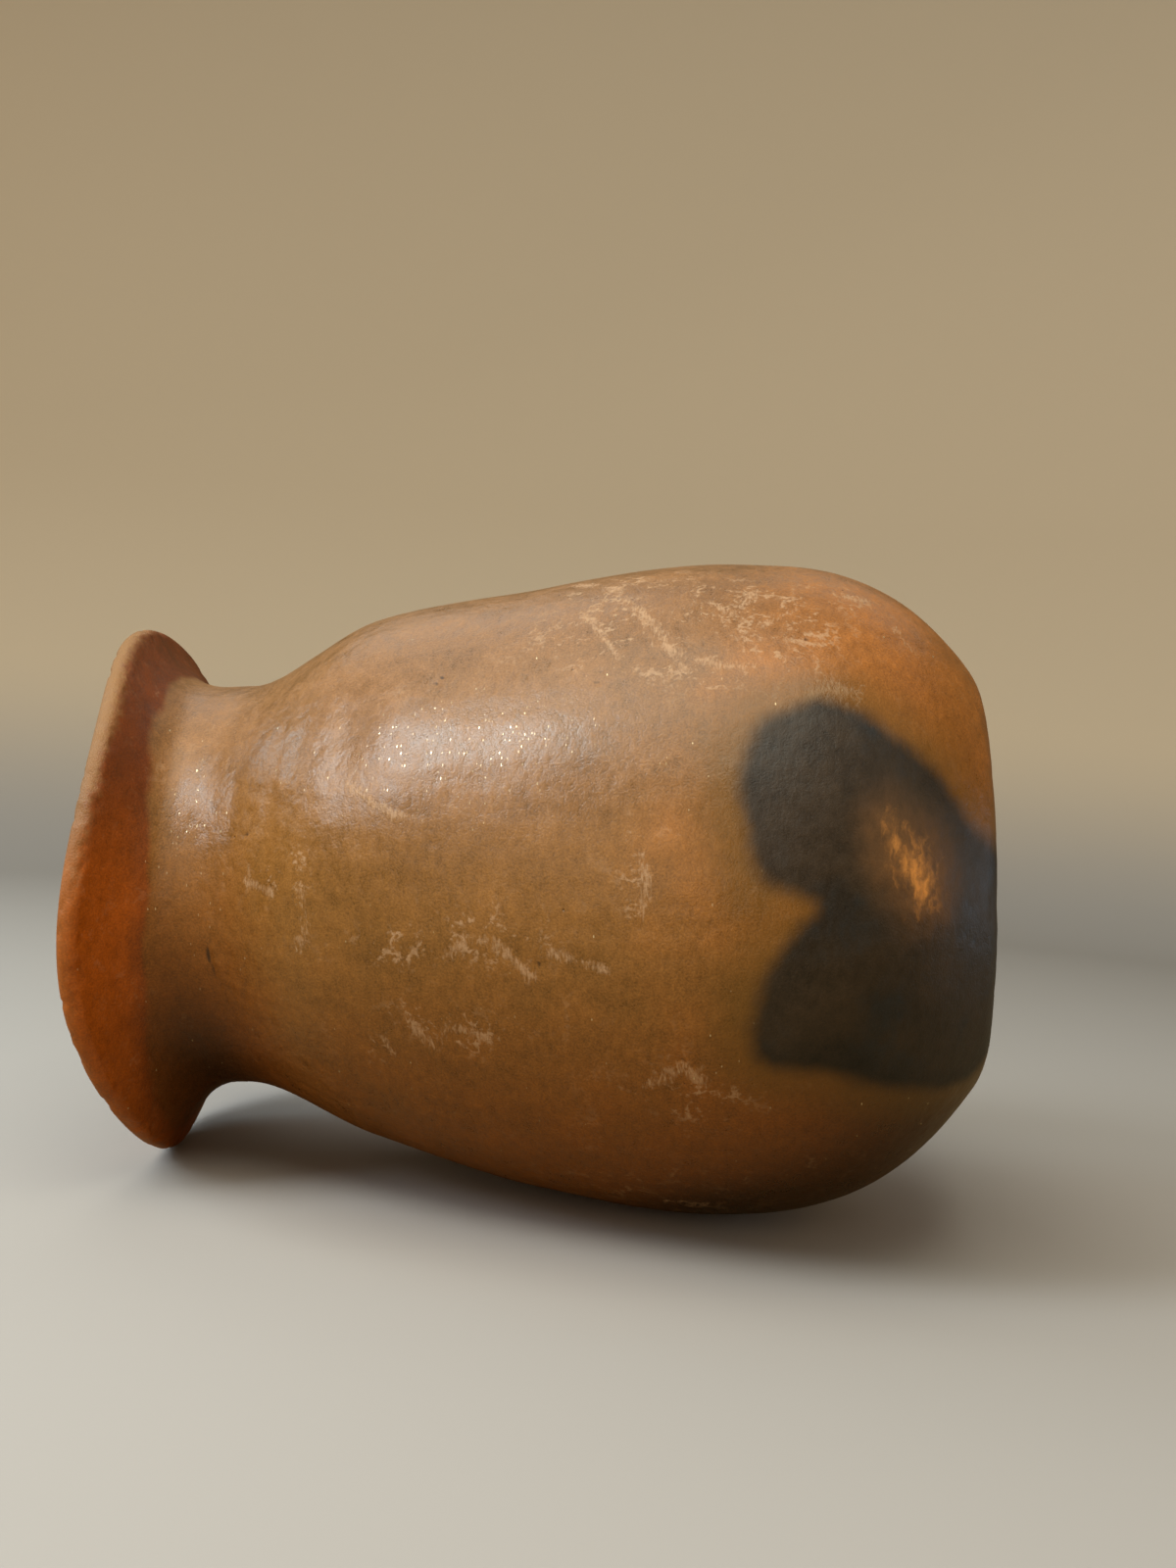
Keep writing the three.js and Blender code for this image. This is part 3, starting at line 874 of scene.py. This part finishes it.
def build_pot():
    """Each member's piece, which rides on the pot's body and stands for its node."""
    slots = {row["node"]: row["material_slot"] for row in frame["record"]["subparts"]}
    finishes = {slot: olla_clay(slot) for slot in sorted(set(slots.values()))}
    joint = luted_clay()
    whole, owners = shaped_pot()
    for member, node in enumerate(MEMBERS):
        piece = parted(whole, owners, member)
        piece.data.materials.append(finishes[slots[node]])
        piece.data.materials.append(joint)
        bpy.context.scene.collection.objects.link(piece)
        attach(piece, "root")
        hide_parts(node)


# The studio

STUDIO_RADIUS = 0.75
STUDIO_HEIGHT = 0.62
COVE_RADIUS = 0.22
FLOOR_COLOUR = (0.46, 0.43, 0.41)
WALL_COLOUR = (0.80, 0.64, 0.46)
STUDIO_BOUNCE = (0.25, 0.19, 0.10)
STUDIO_STEPS, COVE_POINTS = 96, 17
AIR_COLOUR, AIR_STRENGTH = (0.88, 0.93, 0.90, 1), 0.22
POT_MIDDLE = Vector((0, 0, 0.06))
CAMERA_PLACE = (0.04661, -0.32692, 0.08949)
CAMERA_AZIMUTH, CAMERA_ELEVATION, CAMERA_ROLL = 6.906, -2.0, 4.472
CAMERA_LENS, CAMERA_SENSOR = 39.375, 36


def build_studio():
    """A round pale floor that curves up into a wall."""
    studio = bmesh.new()
    turn = np.linspace(0, pi / 2, COVE_POINTS)
    flat = STUDIO_RADIUS - COVE_RADIUS
    cove = [(flat + COVE_RADIUS * sin(a), 0, COVE_RADIUS * (1 - cos(a))) for a in turn]
    line = [studio.verts.new(point) for point in [(0, 0, 0), *cove, (STUDIO_RADIUS, 0, STUDIO_HEIGHT)]]
    edges = [studio.edges.new(pair) for pair in zip(line, line[1:])]
    bmesh.ops.spin(studio, geom=line + edges, cent=(0, 0, 0), axis=(0, 0, 1), dvec=(0, 0, 0),
                   angle=2 * pi, steps=STUDIO_STEPS, use_merge=True)
    bmesh.ops.remove_doubles(studio, verts=studio.verts, dist=MM)
    bmesh.ops.recalc_face_normals(studio, faces=studio.faces)
    for face in studio.faces:
        face.smooth = True
    mesh = bpy.data.meshes.new("studio_floor")
    studio.to_mesh(mesh)
    studio.free()
    paint = Finish("studio_paint")
    height = paint.node("SeparateXYZ", {0: paint.node("TexCoord").outputs["Object"]}).outputs[2]
    colour = paint.blend(paint.rise(height, 0.0, COVE_RADIUS / 2), FLOOR_COLOUR, WALL_COLOUR)
    seen = paint.node("LightPath").outputs["Is Camera Ray"]
    paint.feed(paint.shader.inputs["Base Color"], paint.blend(seen, STUDIO_BOUNCE, colour))
    paint.feed(paint.shader.inputs["Roughness"], 0.9)
    mesh.materials.append(paint.material)
    floor = bpy.data.objects.new("studio_floor", mesh)
    bpy.context.scene.collection.objects.link(floor)


# Each lamp: where it stands, with azimuth 0 on the camera's side and 90 at the foot's end, its elevation, its
# distance, its width and height, its power in watts and its colour
LAMPS = (("key_light", -51, 38, 0.55, (0.16, 0.30), 1.65, (0.84, 0.95, 1.0)),
         ("top_light", -20, 66, 0.60, (0.55, 0.55), 2.6, (1.0, 0.96, 0.78)),
         ("front_light", -14, 10, 0.60, (0.50, 0.40), 0.8, (1.0, 0.78, 0.58)),
         ("side_light", -94, 21, 0.60, (0.16, 0.26), 0.8, (0.68, 0.90, 1.0)),
         ("rear_light", -136, 52, 0.60, (0.34, 0.34), 0.45, (0.95, 0.93, 0.85)),
         ("back_light", 158, 44, 0.60, (0.34, 0.30), 0.12, (1.0, 0.92, 0.75)),
         ("foot_light", 65, 20, 0.60, (0.40, 0.40), 0.42, (1.0, 0.74, 0.45)),
         ("cool_light", 104, 0, 0.60, (0.20, 0.25), 0.30, (0.65, 0.82, 1.0)))


def soft_light(name, azimuth, elevation, distance, size, power, colour):
    """An oblong lamp that faces the pot's middle."""
    lamp = bpy.data.lights.new(name, "AREA")
    lamp.shape = "RECTANGLE"
    lamp.size, lamp.size_y = size
    lamp.energy = power
    lamp.color = colour
    side, up = radians(azimuth), radians(elevation)
    away = Vector((sin(side) * cos(up), -cos(side) * cos(up), sin(up)))
    light = bpy.data.objects.new(name, lamp)
    light.location = POT_MIDDLE + away * distance
    light.rotation_mode = "QUATERNION"
    light.rotation_quaternion = (-away).to_track_quat("-Z", "Y")
    light.visible_camera = False
    bpy.context.scene.collection.objects.link(light)


def light_studio():
    for lamp in LAMPS:
        soft_light(*lamp)
    world = bpy.data.worlds.new("studio_air")
    world.use_nodes = True
    air = world.node_tree.nodes["Background"].inputs
    air["Color"].default_value = AIR_COLOUR
    air["Strength"].default_value = AIR_STRENGTH
    bpy.context.scene.world = world


def place_camera():
    camera = bpy.data.cameras.new("camera")
    camera.lens, camera.sensor_width = CAMERA_LENS, CAMERA_SENSOR
    view = bpy.data.objects.new("camera", camera)
    turn = Matrix.Rotation(radians(CAMERA_AZIMUTH), 4, "Z")
    tip = Matrix.Rotation(radians(90 + CAMERA_ELEVATION), 4, "X")
    roll = Matrix.Rotation(radians(CAMERA_ROLL), 4, "Z")
    view.matrix_world = Matrix.Translation(CAMERA_PLACE) @ turn @ tip @ roll
    bpy.context.scene.collection.objects.link(view)
    bpy.context.scene.camera = view


place_camera()
build_studio()
light_studio()
build_pot()
bpy.context.scene.view_settings.view_transform = "Standard"
